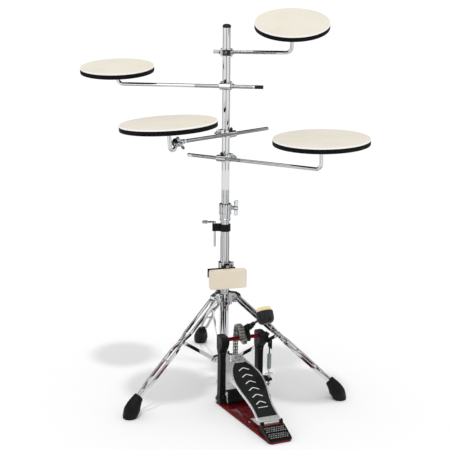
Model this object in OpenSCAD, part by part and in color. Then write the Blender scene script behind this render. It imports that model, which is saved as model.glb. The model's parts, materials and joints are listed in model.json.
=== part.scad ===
// Four-pad practice stand: a tripod column with four swing-arm practice pads,
// a kick pad on the column and a chain-drive bass drum pedal clamped to its foot.
// Millimetres, +Z up. The origin is on the floor under the column axis and the
// player stands on the -Y side.

/* [Column] */
// Outside diameter of the lower tube
lower_tube_d = 25.4; // [22:0.2:30]
// Outside diameter of the telescoping upper tube
upper_tube_d = 22.2; // [19:0.2:22.4]
// Height of the top of the lower tube
lower_tube_top = 515; // [480:1:540]
// Height of the top of the upper tube
upper_tube_top = 1032; // [1000:1:1080]
// Height of the foot of the upper tube inside the lower one
upper_tube_foot = 300; // [220:1:340]

/* [Tripod] */
// Distance of the leg hinges from the column axis
leg_hinge_r = 36; // [34:1:42]
// Height of the leg hinges
leg_hinge_z = 272; // [250:1:290]
// Height of the brace hinges on the lower hub
brace_hinge_z = 85; // [80:1:100]
// Distance of the middle joints from the column axis
knee_r = 163; // [140:1:180]
// Height of the middle joints
knee_z = 172; // [160:1:190]
// Thickness of each leg rail
rail_t = 4.5; // [3:0.5:5]
// Height of each leg rail, seen from the side
rail_h = 10; // [8:0.5:12]
// Distance of the rail ends from the leg hinges
rail_len = 375; // [340:1:380]

/* [Pads] */
// Radius of the two small pads
small_pad_r = 101.6; // [90:0.1:110]
// Radius of the two large pads
large_pad_r = 127; // [120:0.5:140]
// Thickness of a pad's board
board_t = 12; // [8:1:14]
// Thickness of the playing surface on it
skin_t = 4; // [2:0.5:6]
// Diameter of the pad arms
arm_d = 10; // [9:0.1:11]
// Distance of each arm's axis from the column axis
arm_offset = 20; // [18:0.5:24]

/* [Kick pad] */
// Width of the kick pad
kick_w = 108; // [90:1:120]
// Height of the kick pad
kick_h = 55; // [45:1:60]
// Height of the kick pad's lower edge
kick_z = 306; // [300:1:330]
// Distance of the struck face from the column axis
kick_face = 45; // [42:1:60]
// Turn of the kick pad about the column
kick_turn = 16; // [-10:1:30]

/* [Pedal] */
// Turn of the pedal about the column
pedal_turn = 21.6; // [0:0.2:30]
// Distance of the rocker shaft from the column axis
shaft_y = 144.5; // [140:0.5:150]
// Height of the rocker shaft
shaft_z = 195; // [190:1:200]
// Half the distance between the post centres
post_x = 56.5; // [54:0.5:60]
// Radius of the chain sprocket
sprocket_r = 23.5; // [20:0.5:26]
// Distance of the footboard's heel hinge from the column axis
heel_y = 341; // [330:1:350]
// Height of the footboard's heel hinge
heel_z = 29; // [26:1:34]
// Length of the footboard from its heel hinge
board_len = 258; // [240:1:262]

/* [Hidden] */
$fn = 48;
fit = 0.1;            // added to a bore over its shaft
gap = 0.3;            // between neighbours that move
tube_wall = 1.5;
hub_bore = lower_tube_d + fit;
leg_azimuths = [223, 343, 103];
knee_gap = 2.3;       // half the space between the rails for the brace
leg_tilt = atan((leg_hinge_z - knee_z) / (knee_r - leg_hinge_r));
knee_len = norm([knee_r - leg_hinge_r, leg_hinge_z - knee_z]);
brace_tilt = atan((knee_z - brace_hinge_z) / (knee_r - leg_hinge_r));
brace_len = norm([knee_r - leg_hinge_r, knee_z - brace_hinge_z]);
lug_half = 8.2;
rail_hub_y = lug_half + gap + rail_t / 2;
rail_knee_y = knee_gap + rail_t / 2;
sprocket_y = shaft_y - 13;
sprocket_z = shaft_z + 10;
toe_y = 118;
toe_z = 118;
board_tilt = atan((toe_z - heel_z) / (heel_y - toe_y));
rod_bend = 15;

// each arm: height, azimuth, side of the column, roll, reach, riser, stub
top_arm = [966, -4, 1, 20, 176, 89, 38];
left_arm = [876, 171, 1, -8, 300, 50, 104];
snare_arm = [745, 228, 1, 2, 238, 57, 157];
floor_arm = [677, -31, -1, 3, 303, 84, 113];
tilter_x = 216;
snare_slope = 3;      // lean of the snare pad about its tilter

chrome = "silver";
rubber = "#1c1c1c";
cream = "#efe8d6";
red = "#8c0a16";

// ---------- helpers ----------

module tube(d, bore, z0, z1) {
    translate([0, 0, z0]) difference() {
        cylinder(d = d, h = z1 - z0);
        translate([0, 0, -1]) cylinder(d = bore, h = z1 - z0 + 2);
    }
}

// a rod along X between two places
module rod_x(d, x0, x1) {
    translate([x0, 0, 0]) rotate([0, 90, 0]) cylinder(d = d, h = x1 - x0);
}

// a rod along Y between two places
module rod_y(d, y0, y1) {
    translate([0, y1, 0]) rotate([90, 0, 0]) cylinder(d = d, h = y1 - y0);
}

// a quarter bend in the XZ plane, from heading +X to heading +Z
module quarter_bend(r, d) {
    rotate([90, 0, 0]) rotate([0, 0, -90]) rotate_extrude(angle = 90)
        translate([r, 0]) circle(d = d);
}

// an outline of (forward, height) points made solid from x0 to x1 in the pedal's frame
module side_slab(x0, x1) {
    translate([x1, 0, 0]) rotate([90, 0, -90]) linear_extrude(x1 - x0) children();
}

module at_leg(i) rotate([0, 0, leg_azimuths[i]]) children();

// the frame of a leg: X runs from its hinge down to its foot
module leg_frame(i) {
    at_leg(i) translate([leg_hinge_r, 0, leg_hinge_z]) rotate([0, leg_tilt, 0]) children();
}

module arm_place(arm) {
    translate([0, 0, arm[0]]) rotate([0, 0, arm[1]])
        translate([0, arm[2] * arm_offset, 0]) children();
}

module arm_frame(arm) {
    arm_place(arm) rotate([arm[3], 0, 0]) children();
}

module in_pedal() rotate([0, 0, pedal_turn]) children();

module in_kick() rotate([0, 0, kick_turn]) children();

// ---------- column ----------

module lower_tube() {
    color(chrome) tube(lower_tube_d, upper_tube_d + fit, 5, lower_tube_top);
}

module upper_tube() {
    color(chrome) tube(upper_tube_d, upper_tube_d - 2 * tube_wall, upper_tube_foot, upper_tube_top);
}

module tube_cap() {
    plug_d = upper_tube_d - 2 * tube_wall;
    color(rubber) union() {
        translate([0, 0, upper_tube_top - 12]) cylinder(d = plug_d, h = 13);
        translate([0, 0, upper_tube_top]) rotate_extrude() polygon(concat(
            [[0, 0], [upper_tube_d / 2 + 0.6, 0], [upper_tube_d / 2 + 0.6, 4]],
            [for (a = [15:15:90]) [(upper_tube_d / 2 + 0.6) * cos(a), 4 + 6 * sin(a)]]));
    }
}

// the split collar on top of the lower tube, with its ears behind the column
clamp_turn = -15;
collar_z = lower_tube_top;
ear_y = 23;
bolt_z = 529;
module height_clamp() {
    color(chrome) difference() {
        union() {
            translate([0, 0, collar_z - 18]) cylinder(d = 30.4, h = 18);
            translate([0, 0, collar_z]) cylinder(d = 35, h = 28);
            rotate([0, 0, clamp_turn]) translate([-9, 0, collar_z + 3]) cube([18, 31, 22]);
        }
        translate([0, 0, collar_z - 19]) cylinder(d = hub_bore, h = 19);
        translate([0, 0, collar_z - 1]) cylinder(d = 27, h = 30);
        rotate([0, 0, clamp_turn]) {
            translate([-1.5, 10, collar_z + 0.5]) cube([3, 30, 30]);
            translate([0, ear_y, bolt_z]) rod_x(6 + fit, -20, 20);
        }
    }
}

module height_clamp_bush() {
    color(rubber) difference() {
        union() {
            translate([0, 0, collar_z + 0.5]) cylinder(d = 26.8, h = 28);
            translate([0, 0, collar_z + 28.2]) cylinder(d = 31, h = 2.5);
        }
        translate([0, 0, collar_z]) cylinder(d = upper_tube_d + fit, h = 32);
    }
}

// one blade of a wing bolt or nut, standing up from a screw that lies along X
module wing_blade(reach, root, thick, tip) {
    hull() {
        translate([0, 0, 3]) rod_x(thick, -root / 2, root / 2, $fn = 32);
        translate([0, 0, reach - tip / 2]) rotate([90, 0, 0])
            cylinder(d = tip, h = thick, center = true, $fn = 32);
    }
}

module wing_pair(reach, root, thick, tip) {
    for (turn = [0, 180]) rotate([turn, 0, 0]) wing_blade(reach, root, thick, tip);
}

module height_wing_bolt() {
    color(chrome) rotate([0, 0, clamp_turn]) translate([0, ear_y, bolt_z]) union() {
        rod_x(6, -14, 18);
        rod_x(14, 9 + gap, 14);
        rod_x(12, 13, 31);
        translate([26, 0, 0]) wing_pair(23, 9, 4, 12);
        rod_x(10, -13, -9 - gap);
    }
}

// the clip that stores the drum key on the tube
key_x = -29;
key_arm_z = 491;
module key_clip() {
    color(rubber) difference() {
        union() {
            translate([0, 0, 466]) cylinder(d = 32, h = 20);
            translate([key_x - 7, -7, 466]) cube([22, 14, 20]);
        }
        translate([0, 0, 465]) cylinder(d = hub_bore, h = 22);
        translate([key_x, 0, 465]) cylinder(d = 6 + fit, h = 22);
    }
}

module drum_key() {
    color(chrome) translate([key_x, 0, 0]) union() {
        translate([0, 0, 420]) cylinder(d = 6, h = key_arm_z - 420);
        translate([0, 0, key_arm_z]) sphere(d = 6);
        translate([0, 0, key_arm_z]) rod_x(6, -23, 0);
        translate([0, 0, key_arm_z]) rod_x(9, -34, -22);
    }
}

// ---------- tripod ----------

module upper_hub() {
    color(chrome) difference() {
        union() {
            translate([0, 0, 246]) cylinder(d = 34, h = 40);
            for (i = [0:2]) at_leg(i) {
                translate([12, -lug_half, 258]) cube([24, 2 * lug_half, 28]);
                translate([leg_hinge_r, 0, leg_hinge_z]) rod_y(24, -lug_half, lug_half);
                translate([leg_hinge_r, 0, leg_hinge_z]) rod_y(6, -17, 17);
                for (side = [-1, 1]) translate([leg_hinge_r, 0, leg_hinge_z])
                    rotate([side > 0 ? 0 : 180, 0, 0])
                        rod_y(11, rail_hub_y + rail_t / 2 + gap, 17);
            }
            rotate([0, 0, -77]) translate([0, 0, 256]) rod_x(12, 12, 22);
        }
        translate([0, 0, 240]) cylinder(d = hub_bore, h = 60);
    }
}

module lower_hub() {
    color(chrome) difference() {
        union() {
            translate([0, 0, 66]) cylinder(d = 34, h = 32);
            for (i = [0:2]) at_leg(i) {
                for (side = [-1, 1]) {
                    translate([12, side > 0 ? knee_gap : -knee_gap - 4, brace_hinge_z - 9])
                        cube([leg_hinge_r - 12, 4, 18]);
                    translate([leg_hinge_r, 0, brace_hinge_z]) rotate([side > 0 ? 0 : 180, 0, 0])
                        rod_y(18, knee_gap, knee_gap + 4);
                }
                translate([leg_hinge_r, 0, brace_hinge_z]) rod_y(5, -9, 9);
            }
        }
        translate([0, 0, 60]) cylinder(d = hub_bore, h = 50);
    }
}

// the chrome plate that runs down in front of the tube and forward into the pedal
plate_half = 18;
tongue_end = 120.5;
module pedal_plate() {
    color(chrome) in_pedal() union() {
        translate([-plate_half, -21, 0]) cube([2 * plate_half, 4, 74]);
        translate([-9, -21, 0]) cube([18, 4, 96]);
        translate([-plate_half, -tongue_end, 0]) cube([2 * plate_half, tongue_end + 16, 5]);
    }
}

// half a leg: a flat rail that is pinched in at the middle joint and at the foot
function rail_path() = [
    [-7, rail_hub_y], [knee_len - 28, rail_hub_y], [knee_len - 9, rail_knee_y],
    [knee_len + 9, rail_knee_y], [knee_len + 30, rail_hub_y - 0.8],
    [rail_len - 62, rail_hub_y - 0.8], [rail_len - 38, rail_knee_y + 1],
    [rail_len, rail_knee_y + 1]
];

module rail() {
    path = rail_path();
    last = len(path) - 1;
    difference() {
        translate([0, 0, -rail_h / 2]) linear_extrude(rail_h) polygon(concat(
            [for (p = path) p + [0, rail_t / 2]],
            [for (k = [last:-1:0]) path[k] - [0, rail_t / 2]]));
        rod_y(6 + fit, 0, 30);
    }
}

module leg(i) {
    color(chrome) leg_frame(i) {
        rail();
        mirror([0, 1, 0]) rail();
        translate([knee_len, 0, 0]) {
            rod_y(5, -9.5, 9.5);
            for (side = [-1, 1]) rotate([side > 0 ? 0 : 180, 0, 0])
                rod_y(10, rail_knee_y + rail_t / 2, 9.5);
        }
    }
}

sole_r = 346;
module foot(i) {
    color(rubber) difference() {
        intersection() {
            hull() {
                leg_frame(i) translate([rail_len - 36, 0, 0])
                    rod_x(28, 0, 6, $fn = 32);
                at_leg(i) translate([sole_r, 0, -1]) cylinder(r = 20, h = 8, $fn = 32);
                at_leg(i) translate([sole_r + 4, 0, 24]) sphere(r = 19, $fn = 32);
            }
            cylinder(r = 500, h = 200);
        }
        leg_frame(i) translate([rail_len - 62, -7.9, -rail_h / 2 - 0.05])
            cube([62.1, 15.8, rail_h + 0.1]);
    }
}

// a brace bar; its hole at the middle joint is loose because the tripod's loop opens there
module brace(i) {
    color(chrome) at_leg(i) translate([leg_hinge_r, 0, brace_hinge_z])
        rotate([0, -brace_tilt, 0]) difference() {
            union() {
                rod_y(12, -2, 2);
                translate([0, -2, -5]) cube([brace_len, 4, 10]);
                translate([brace_len, 0, 0]) rod_y(14, -2, 2);
            }
            rod_y(5 + fit, -5, 5);
            translate([brace_len, 0, 0]) rod_y(7.4, -5, 5);
        }
}

// ---------- kick pad ----------

pad_back = kick_face - 20;
kick_bolt_z = 367;
module kick_clamp() {
    color(chrome) in_kick() difference() {
        union() {
            translate([0, 0, 354]) cylinder(d = 36, h = 20);
            translate([-8, 3 - pad_back, 355]) cube([16, 12, 18]);
            translate([14, -5, 356]) cube([12, 10, 16]);
            translate([0, 0, kick_bolt_z]) rod_y(9, -pad_back - 4, -20);
        }
        translate([0, 0, 350]) cylinder(d = hub_bore, h = 30);
        translate([14, -1, 350]) cube([14, 2, 30]);
    }
}

module kick_bracket() {
    color(rubber) in_kick() difference() {
        union() {
            translate([-57, -pad_back, 338]) cube([82, 3, 26]);
            translate([-8, -pad_back, 352]) cube([16, 3, 22]);
        }
        translate([0, 0, kick_bolt_z]) rod_y(9 + fit, -40, -10);
    }
}

module kick_pad() {
    corner = 5;
    color(cream) in_kick() translate([0, -pad_back - 0.05, kick_z + kick_h / 2])
        rotate([90, 0, 0]) linear_extrude(20) union() {
            square([kick_w, kick_h - 2 * corner], center = true);
            square([kick_w - 2 * corner, kick_h], center = true);
            for (sx = [-1, 1], sy = [-1, 1])
                translate([sx * (kick_w / 2 - corner), sy * (kick_h / 2 - corner)])
                    circle(r = corner);
        }
}

// ---------- pad arms ----------

// a cross clamp: a collar round the column, a boss for the arm and a split ear with its screw
module cross_clamp(arm) {
    far = -arm[2];
    color(chrome) translate([0, 0, arm[0]]) rotate([0, 0, arm[1]]) {
        difference() {
            union() {
                translate([0, 0, -11]) cylinder(d = 33, h = 22);
                translate([0, arm[2] * arm_offset, 0]) rod_x(19, -15, 15);
                translate([-12, far * 18 - 8, -8]) cube([24, 16, 16]);
            }
            translate([0, 0, -20]) cylinder(d = upper_tube_d + fit, h = 40);
            translate([0, arm[2] * arm_offset, 0]) rod_x(arm_d + fit, -20, 20);
            translate([-1.25, far * 22 - 12, -20]) cube([2.5, 24, 40]);
            translate([0, far * 20, 0]) rod_x(5 + fit, -20, 20);
        }
        translate([0, far * 20, 0]) {
            rod_x(5, -14, 14);
            rod_x(10, 12 + 0.05, 19);
            rod_x(9, -16, -12 - 0.05);
        }
    }
}

// an arm with a quarter bend up to the flange that is screwed to a pad
module bent_arm(arm) {
    reach = arm[4];
    top = arm[5] - board_t - skin_t;
    color(chrome) arm_frame(arm) union() {
        rod_x(arm_d, -arm[6], reach - rod_bend);
        translate([reach - rod_bend, 0, rod_bend]) quarter_bend(rod_bend, arm_d);
        translate([reach, 0, rod_bend]) cylinder(d = arm_d, h = top - 3 - rod_bend);
        translate([reach, 0, top - 3]) cylinder(d = 44, h = 3);
        translate([reach, 0, top - 9]) cylinder(d = 18, h = 7);
    }
}

module pad_place(arm) {
    arm_frame(arm) translate([arm[4], 0, arm[5]]) children();
}

module pad_board(r) {
    color(rubber) translate([0, 0, -board_t - skin_t]) cylinder(r = r, h = board_t, $fn = 96);
}

module pad_skin(r) {
    color(cream) translate([0, 0, -skin_t]) cylinder(r = r, h = skin_t, $fn = 96);
}

// the snare pad leans on a toothed tilter at the end of its arm
module snare_lean() {
    arm_frame(snare_arm) translate([tilter_x, 0, 0]) rotate([0, snare_slope, 0])
        translate([-tilter_x, 0, 0]) children();
}

module snare_arm() {
    color(chrome) arm_frame(snare_arm) union() {
        rod_x(arm_d, -snare_arm[6], 194);
        difference() {
            union() {
                translate([tilter_x, 0, 0]) rod_y(22, 4 + gap, 11);
                translate([0, 0, -4.5]) linear_extrude(9) polygon([
                    [182, -5], [194, -5], [200, 4.4], [220, 4.4], [220, 10.9], [196, 10.9], [182, 5]
                ]);
            }
            translate([tilter_x, 0, 0]) rod_y(6 + fit, 0, 20);
        }
    }
}

module snare_tilter() {
    top = snare_arm[5] - board_t - skin_t;
    reach = snare_arm[4];
    hook = (reach - tilter_x - 2) / 2;
    color(chrome) snare_lean() union() {
        translate([tilter_x, 0, 0]) rod_y(22, -4, 4);
        translate([tilter_x, 0, 0]) rod_y(6, 0, 26);
        translate([tilter_x + 2, 0, -8]) cylinder(d = 8, h = 8);
        translate([tilter_x + 2 + hook, 0, -8]) rotate([90, 0, 0]) rotate([0, 0, 180])
            rotate_extrude(angle = 180) translate([hook, 0]) circle(d = 8);
        translate([reach, 0, -8]) cylinder(d = 8, h = top + 8 - 3);
        translate([reach, 0, top - 3]) cylinder(d = 44, h = 3);
        translate([reach, 0, top - 9]) cylinder(d = 18, h = 7);
    }
}

module tilter_wing_nut() {
    color(chrome) arm_frame(snare_arm) translate([tilter_x, 0, 0]) difference() {
        union() {
            rod_y(14, 11 + gap, 22);
            translate([0, 17.5, 0]) rotate([0, 35, 0]) rotate([0, 0, 90]) wing_pair(21, 6, 3.5, 10);
        }
        rod_y(6 + fit, 5, 40);
    }
}

// ---------- pedal ----------

module base_plate() {
    color(red) in_pedal() difference() {
        linear_extrude(4) difference() {
            polygon([[-71, -121], [71, -121], [70, -128], [31.5, -400], [26, -406],
                     [-26, -406], [-31.5, -400], [-70, -128]]);
            polygon([[-25, -218], [25, -218], [17, -300], [-17, -300]]);
        }
    }
}

module heel_plate() {
    back = heel_y + 7;
    color(rubber) in_pedal() union() {
        side_slab(-32, 32) polygon([[back, 4], [404, 4], [404, 9], [back + 6, 26], [back, 26]]);
        for (x = [-32, 22]) {
            translate([0, -heel_y, heel_z]) rod_x(12, x, x + 10);
            side_slab(x, x + 10) polygon([[heel_y - 5, 4], [back, 4], [back, heel_z], [heel_y - 5, heel_z]]);
        }
        translate([0, -heel_y, heel_z]) rod_x(5, -31, 31);
    }
}

// a post with the shaft's bearing housing at its top; the right one carries the spring rod
module post(side) {
    x = side * post_x;
    color(rubber) in_pedal() difference() {
        union() {
            translate([x, -116, 4]) rotate([90, 0, 0]) linear_extrude(22) polygon([
                [-9.5, 0], [9.5, 0], [8.2, 60], [8.2, 142], [11, 160], [11, 196], [8, 199],
                [-8, 199], [-11, 196], [-11, 160], [-8.2, 142], [-8.2, 60]
            ]);
            side_slab(x - 11, x + 11) polygon([
                [120, 160], [132, 152], [150, 172], [157, 186], [157, 199], [153, 203], [120, 203]
            ]);
            if (side > 0) translate([post_x + 5, -eye_y - 6, 62]) cube([21, 28, 7]);
        }
        translate([x, -shaft_y, shaft_z]) rod_x(9 + fit, -20, 20);
        if (side > 0) translate([spring_x, -eye_y, 50]) cylinder(d = 4 + fit, h = 30);
    }
}

screw_y = 151;
jaw_hinge_y = 137;
// the black casting between the posts, slotted for the plate's tongue and its jaw
module toe_bridge() {
    color(rubber) in_pedal() difference() {
        side_slab(-post_x + 9.8, post_x - 9.8) polygon([
            [106, 4], [158, 4], [158, 16], [144, 24], [112, 30], [106, 26]
        ]);
        translate([-plate_half - 1, -170, 0]) cube([2 * plate_half + 2, 80, 17]);
        translate([0, -screw_y, 10]) rod_x(6 + fit, 10, 60);
        translate([0, -jaw_hinge_y, 10]) rod_x(6 + fit, -26, 26);
    }
}

module hoop_jaw() {
    half = plate_half - 0.5;
    color(rubber) in_pedal() translate([0, -jaw_hinge_y, 10]) union() {
        translate([-half, 0, -4.6]) cube([2 * half, jaw_hinge_y - 106, 6.6]);
        rod_x(9, -half, half);
        rod_x(6, -25, 25);
    }
}

module jaw_screw() {
    color(chrome) in_pedal() translate([0, -screw_y, 10]) union() {
        rod_x(6, 21, 84);
        rod_x(11, 76, 84);
        translate([80, 0, 0]) rod_y(5, -9, 9);
    }
}

module rocker_shaft() {
    color(red) in_pedal() translate([0, -shaft_y, shaft_z]) {
        union() {
            rod_x(9, -post_x - 12, 78);
            translate([-post_x + 11 + gap, 0, 0]) rotate([0, 90, 0])
                cylinder(d = 11.5, h = 2 * post_x - 22 - 2 * gap, $fn = 6);
        }
    }
}

module shaft_bore() {
    rotate([0, 90, 0]) cylinder(d = 11.6, h = 300, center = true, $fn = 6);
}

// a twin-disc sprocket set off the shaft, with its clamp block and the chain laid on it
module sprocket() {
    color("gray") in_pedal() difference() {
        union() {
            translate([0, -sprocket_y, sprocket_z]) {
                for (x = [-14, -7.2, -0.4]) rod_x(2 * sprocket_r - 2, x, x + 2.4);
                rod_x(2 * sprocket_r - 12, -14, 2);
            }
            translate([-6, -shaft_y, shaft_z]) rod_x(20, 0, 13);
            translate([-6, -shaft_y - 8, shaft_z - 13]) cube([13, 14, 13]);
        }
        translate([0, -shaft_y, shaft_z]) shaft_bore();
    }
}

rod_lean = 58;        // lean of the beater rod from the vertical
rod_side = 22.5;      // distance of the rod from the shaft axis
hub_x = 13;
// the beater's frame: Z runs along the rod, +Y is the striking side
module beater_frame() {
    in_pedal() translate([hub_x, -shaft_y, shaft_z]) rotate([rod_lean, 0, 0]) children();
}

module beater_hub() {
    color(rubber) beater_frame() difference() {
        union() {
            translate([-8, rod_side - 8, -12]) cube([12, 16, 48]);
            translate([-5.5, 0, 0]) rod_x(25, 0, 10.5);
            translate([-5.5, -2, -12.5]) cube([10.5, 18, 25]);
            translate([0, rod_side, 26]) rod_x(9, 4, 10);
        }
        shaft_bore_beater();
        translate([-2, rod_side, -20]) cylinder(d = 6.5 + fit, h = 70);
    }
}

module shaft_bore_beater() {
    rotate([-rod_lean, 0, 0]) shaft_bore();
}

rod_top = 156;
module beater_rod() {
    color("dimgray") beater_frame() translate([-2, rod_side, -30]) cylinder(d = 6.5, h = rod_top + 30 + 4);
}

module beater_head() {
    color(rubber) beater_frame() translate([-2, rod_side, rod_top]) difference() {
        rotate([-90, 0, 0]) translate([0, 0, -21]) rotate_extrude() polygon([
            [0, 0], [13, 0], [18, 3], [22, 10], [23, 20], [23, 33], [0, 33]
        ]);
        translate([0, 0, -60]) cylinder(d = 6.5 + fit, h = 64.1);
    }
}

module beater_felt() {
    color(cream) beater_frame() translate([-2, rod_side, rod_top])
        rotate([-90, 0, 0]) translate([0, 0, 12.05]) rotate_extrude() polygon(concat(
            [[0, 0], [23, 0], [23, 5]],
            [for (a = [20:14:90]) [15 + 8 * cos(a), 5 + 7 * sin(a)]], [[0, 12]]));
}

// the lever that stretches the spring, on the right end of the shaft
eye_r = 20;
eye_lag = -50;        // angle of the lever's eye below the horizontal
eye_y = shaft_y + eye_r * cos(eye_lag);
eye_z = shaft_z + eye_r * sin(eye_lag);
lever_x = post_x + 12.3;
module spring_lever() {
    color(rubber) in_pedal() difference() {
        union() {
            translate([0, -shaft_y, shaft_z]) rod_x(17, lever_x, lever_x + 4);
            side_slab(lever_x, lever_x + 4) hull() {
                translate([shaft_y, shaft_z]) circle(d = 15, $fn = 32);
                translate([eye_y, eye_z]) circle(d = 10, $fn = 32);
            }
            translate([0, -eye_y, eye_z]) rod_x(4, lever_x, lever_x + 8.6);
        }
        translate([0, -shaft_y, shaft_z]) rod_x(9 + fit, 0, 100);
    }
}

rocker_x = lever_x + 4.4;
spring_x = rocker_x + 1.8;
spring_top = 141;
spring_foot = 90;
// the swivel that keeps the spring upright; its slot lets the lever's eye swing past
module spring_rocker() {
    color(rubber) in_pedal() union() {
        side_slab(rocker_x, rocker_x + 3.6) difference() {
            translate([eye_y - 7, eye_z - 19]) square([21, 25]);
            translate([eye_y - 3.2, eye_z - 3.2]) square([13.5, 6.4]);
        }
        translate([spring_x, -eye_y, spring_top + 1]) cylinder(d = 3.5, h = 24);
    }
}

module spring() {
    color("#7c8a84") in_pedal() translate([spring_x, -eye_y, spring_foot])
        difference() {
            cylinder(d = 11.5, h = spring_top - spring_foot);
            translate([0, 0, 8]) cylinder(d = 6.5, h = spring_top - spring_foot - 10);
            translate([0, 0, -1]) cylinder(d = 6.5, h = 8);
        }
}

module spring_rod() {
    color(chrome) in_pedal() translate([spring_x, -eye_y, 0]) union() {
        translate([0, 0, 44]) cylinder(d = 4, h = spring_foot - 44 + 4);
        translate([0, 0, 56.5]) cylinder(d = 9, h = 5, $fn = 6);
        translate([0, 0, 70]) cylinder(d = 11, h = 4);
    }
}

module chain_run() {
    chain_top = sprocket_z - 8;
    chain_foot = 132.4;
    color("gray") in_pedal() translate([-13, sprocket_r - sprocket_y - 0.3, chain_foot])
        cube([13, 4.5, chain_top - chain_foot]);
}

// half-width of the footboard at a distance from its heel
function board_half(s) =
    s < 40 ? 35 - 4 * sin(90 * s / 40)
    : s < 140 ? 31 + 14 * (1 - cos(180 * (s - 40) / 100)) / 2
    : s < 225 ? 45 - 29 * (1 - cos(180 * (s - 140) / 95)) / 2
    : 16.8 - 4 * pow((s - 225) / (board_len - 225), 2);

module board_outline(inset) {
    s0 = 6 + inset;
    s1 = board_len - inset;
    steps = 36;
    polygon(concat(
        [for (k = [0:steps]) let (s = s0 + (s1 - s0) * k / steps) [s, board_half(s) - inset]],
        [for (k = [steps:-1:0]) let (s = s0 + (s1 - s0) * k / steps) [s, inset - board_half(s)]]));
}

// the footboard's frame: X runs from the heel hinge up to the toe
module board_frame() {
    in_pedal() translate([-5, -heel_y, heel_z]) rotate([0, 0, 90]) rotate([0, -board_tilt, 0])
        children();
}

module footboard() {
    color(chrome) board_frame() difference() {
        union() {
            translate([0, 0, 2]) linear_extrude(6) board_outline(0);
            rod_y(11, -26.7, 16.7);
            translate([0, -26.7, 0]) cube([14, 43.4, 5]);
            translate([board_len - 36, -13, 2]) cube([26, 26, 9]);
        }
        rod_y(5 + fit, -50, 50);
    }
}

lower_tube();
upper_tube();
tube_cap();
height_clamp();
height_clamp_bush();
height_wing_bolt();
key_clip();
drum_key();
upper_hub();
lower_hub();
pedal_plate();
leg(0);  // left_leg
leg(1);  // right_leg
leg(2);  // rear_leg
foot(0);  // left_foot
foot(1);  // right_foot
foot(2);  // rear_foot
brace(0);  // left_brace
brace(1);  // right_brace
brace(2);  // rear_brace
kick_clamp();
kick_bracket();
kick_pad();
cross_clamp(top_arm);  // top_clamp
bent_arm(top_arm);
pad_place(top_arm) pad_board(small_pad_r);  // top_pad_board
pad_place(top_arm) pad_skin(small_pad_r);  // top_pad_skin
cross_clamp(left_arm);  // left_clamp
bent_arm(left_arm);
pad_place(left_arm) pad_board(small_pad_r);  // left_pad_board
pad_place(left_arm) pad_skin(small_pad_r);  // left_pad_skin
cross_clamp(snare_arm);  // snare_clamp
snare_arm();
snare_tilter();
tilter_wing_nut();
snare_lean()  // snare_pad_board
    translate([snare_arm[4], 0, snare_arm[5]]) pad_board(large_pad_r);
snare_lean()  // snare_pad_skin
    translate([snare_arm[4], 0, snare_arm[5]]) pad_skin(large_pad_r);
cross_clamp(floor_arm);  // floor_clamp
bent_arm(floor_arm);
pad_place(floor_arm) pad_board(large_pad_r);  // floor_pad_board
pad_place(floor_arm) pad_skin(large_pad_r);  // floor_pad_skin
base_plate();
heel_plate();
post(-1);  // left_post
post(1);  // right_post
toe_bridge();
hoop_jaw();
jaw_screw();
rocker_shaft();
sprocket();
beater_hub();
beater_rod();
beater_head();
beater_felt();
spring_lever();
spring_rocker();
spring();
spring_rod();
chain_run();
footboard();
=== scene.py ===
# A four-pad practice stand with its kick pad and chain-drive pedal.
import bmesh
import bpy
import json
import math
from mathutils import Matrix, Vector

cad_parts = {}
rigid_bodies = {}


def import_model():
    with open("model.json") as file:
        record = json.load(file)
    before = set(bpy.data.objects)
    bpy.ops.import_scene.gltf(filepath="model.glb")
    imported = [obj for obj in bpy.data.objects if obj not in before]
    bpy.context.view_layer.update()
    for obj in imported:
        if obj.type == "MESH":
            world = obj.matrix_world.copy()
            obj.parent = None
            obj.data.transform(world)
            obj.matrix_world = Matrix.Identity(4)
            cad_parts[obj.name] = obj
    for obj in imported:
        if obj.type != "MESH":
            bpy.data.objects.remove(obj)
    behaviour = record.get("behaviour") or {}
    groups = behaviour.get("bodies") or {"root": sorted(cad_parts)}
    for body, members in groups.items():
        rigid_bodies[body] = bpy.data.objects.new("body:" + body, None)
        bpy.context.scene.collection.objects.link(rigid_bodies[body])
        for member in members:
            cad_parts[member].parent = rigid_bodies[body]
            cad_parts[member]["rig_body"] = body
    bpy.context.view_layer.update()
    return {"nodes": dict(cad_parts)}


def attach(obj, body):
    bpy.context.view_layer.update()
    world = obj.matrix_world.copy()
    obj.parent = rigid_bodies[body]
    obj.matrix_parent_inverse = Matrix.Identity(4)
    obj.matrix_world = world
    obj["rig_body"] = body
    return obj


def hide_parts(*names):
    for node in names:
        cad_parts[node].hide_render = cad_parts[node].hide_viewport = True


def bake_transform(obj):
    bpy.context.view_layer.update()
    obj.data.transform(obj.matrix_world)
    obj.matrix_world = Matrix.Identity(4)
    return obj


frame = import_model()
print("frame loaded:", len(frame["nodes"]), "nodes")

# Places, in millimetres.


def turn(axis, degrees):
    return Matrix.Rotation(math.radians(degrees), 4, axis)


def shift(x, y, z):
    return Matrix.Translation((x, y, z))


stand = {
    "lowerTube": 25.4, "upperTube": 22.2, "bore": 19.2,
    "lowerTop": 515, "upperTop": 1032, "upperFoot": 300,
    "legTurns": {"left": 223, "right": 343, "rear": 103},
    "legHinge": (36, 272), "braceHinge": (36, 85), "knee": (163, 172),
}
hingeOut, hingeUp = stand["legHinge"]
kneeOut, kneeUp = stand["knee"]
legTilt = math.degrees(math.atan2(hingeUp - kneeUp, kneeOut - hingeOut))
kneeAlong = math.hypot(kneeOut - hingeOut, hingeUp - kneeUp)

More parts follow.
